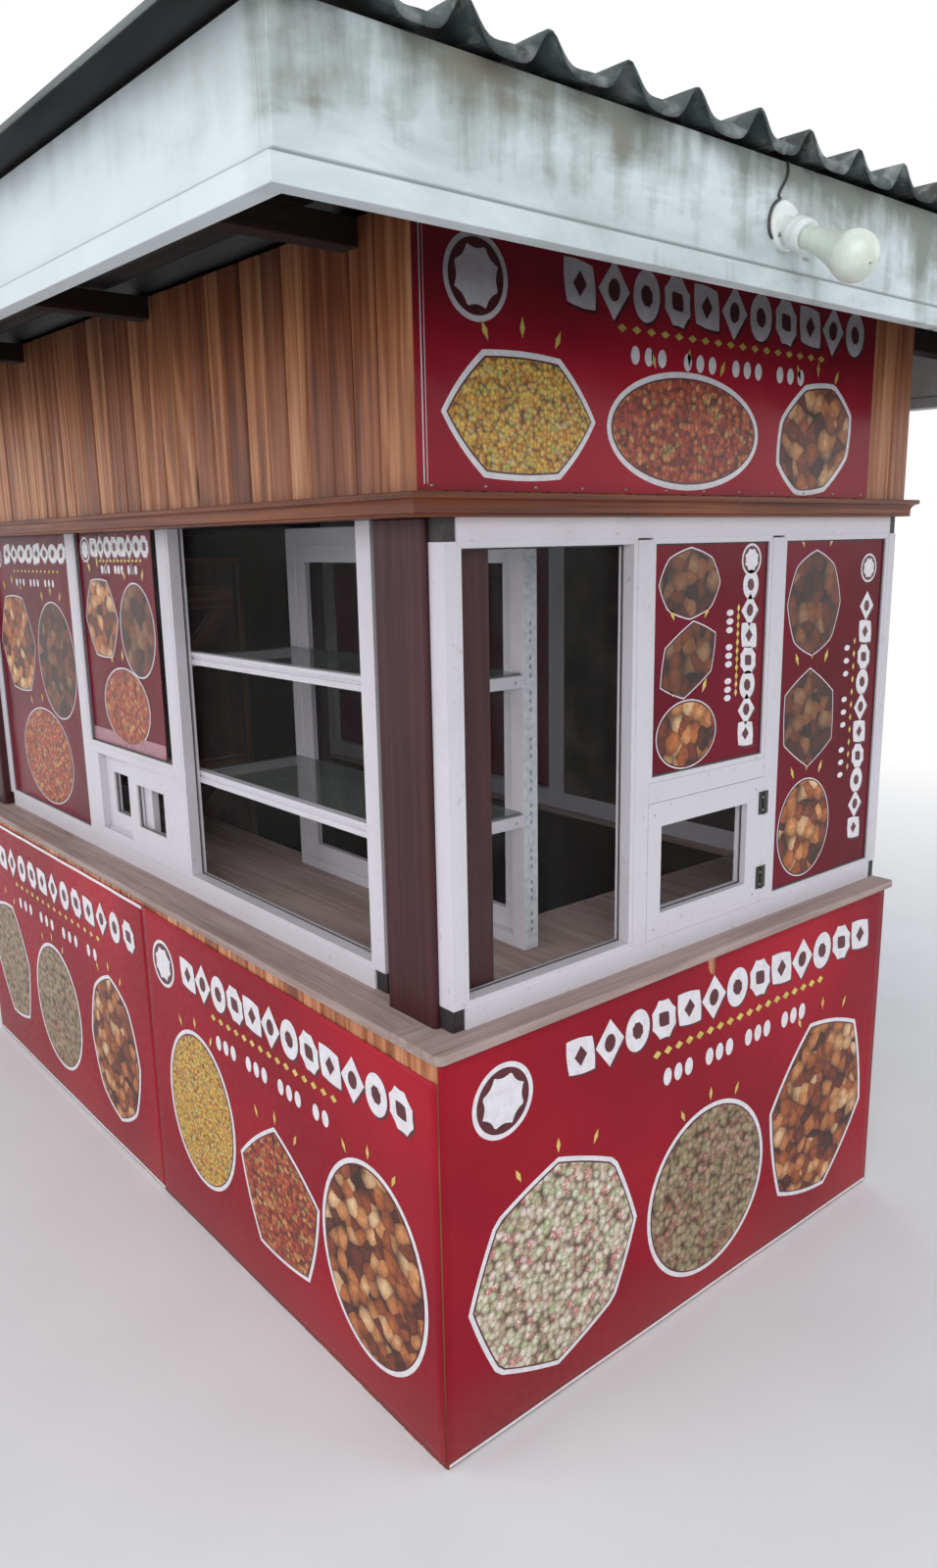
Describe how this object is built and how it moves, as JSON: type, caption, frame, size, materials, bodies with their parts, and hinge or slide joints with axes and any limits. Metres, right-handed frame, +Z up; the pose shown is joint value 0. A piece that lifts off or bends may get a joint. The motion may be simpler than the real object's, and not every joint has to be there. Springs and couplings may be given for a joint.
{
  "type": "street kiosk",
  "caption": "Small timber food kiosk: red vinyl wrapped base, white aluminium shopfront frames with glass, varnished boarded upper band, wide flat corrugated roof with white fascia.",
  "frame": {"origin": "middle of the bounding box, on the ground", "axes": "+Z up, the short shop front faces -Y, the long side with the sliding hatch faces -X"},
  "size_m": [2.884, 4.1698, 2.6186],
  "materials": {
    "varnished_boards": "satin varnish",
    "dark_stained_timber": "dark stain, dull",
    "weathered_timber": "weathered, bare",
    "rough_timber": "sawn, bare",
    "red_vinyl_banner": "printed vinyl, semi gloss",
    "red_sign_face": "printed panel, glossy",
    "white_aluminium": "white powder coat, satin",
    "dark_section": "dark powder coat",
    "black_hinge": "black, satin",
    "clear_glass": "clear float glass",
    "painted_fascia": "white paint, streaked with dirt",
    "roofing_sheet": "weathered corrugated sheet",
    "lamp_plastic": "white moulded plastic",
    "opal_bulb": "opal diffuser",
    "black_wire": "black sheath"
  },
  "bodies": {
    "root": {"base_front_wall": "varnished_boards", "base_left_wall": "varnished_boards", "base_right_wall": "varnished_boards", "back_wall": "varnished_boards", "back_door": "varnished_boards", "back_door_fittings": "black_hinge", "floor_boards": "rough_timber", "floor_bearers": "rough_timber", "corner_posts": "dark_stained_timber", "ledge_front": "weathered_timber", "ledge_left": "weathered_timber", "ledge_right": "weathered_timber", "banner_front": "red_vinyl_banner", "banner_left": "red_vinyl_banner", "front_frame": "white_aluminium", "front_mullions": "white_aluminium", "corner_blocks": "dark_section", "front_hatch_sash": "white_aluminium", "front_hatch_hinges": "black_hinge", "front_glass": "clear_glass", "front_panels": "red_sign_face", "left_frame": "white_aluminium", "left_mullions": "white_aluminium", "left_hatch_sashes": "white_aluminium", "left_glass": "clear_glass", "left_panels": "red_sign_face", "right_frame": "white_aluminium", "right_glass": "clear_glass", "right_panels": "red_sign_face", "cabinet_back_frame": "white_aluminium", "cabinet_glass": "clear_glass", "cabinet_shelf_rails": "white_aluminium", "counter_boards": "weathered_timber", "counter_legs": "rough_timber", "upper_front_wall": "varnished_boards", "upper_back_wall": "varnished_boards", "upper_left_wall": "varnished_boards", "upper_right_wall": "varnished_boards", "moulding": "varnished_boards", "sign_panel": "red_sign_face", "purlins": "rough_timber", "fascia_boards": "painted_fascia", "fascia_trim": "painted_fascia", "roof_sheets": "roofing_sheet", "lamp_holder": "lamp_plastic", "lamp_bulb": "opal_bulb", "lamp_wire": "black_wire"}
  },
  "joints": []
}
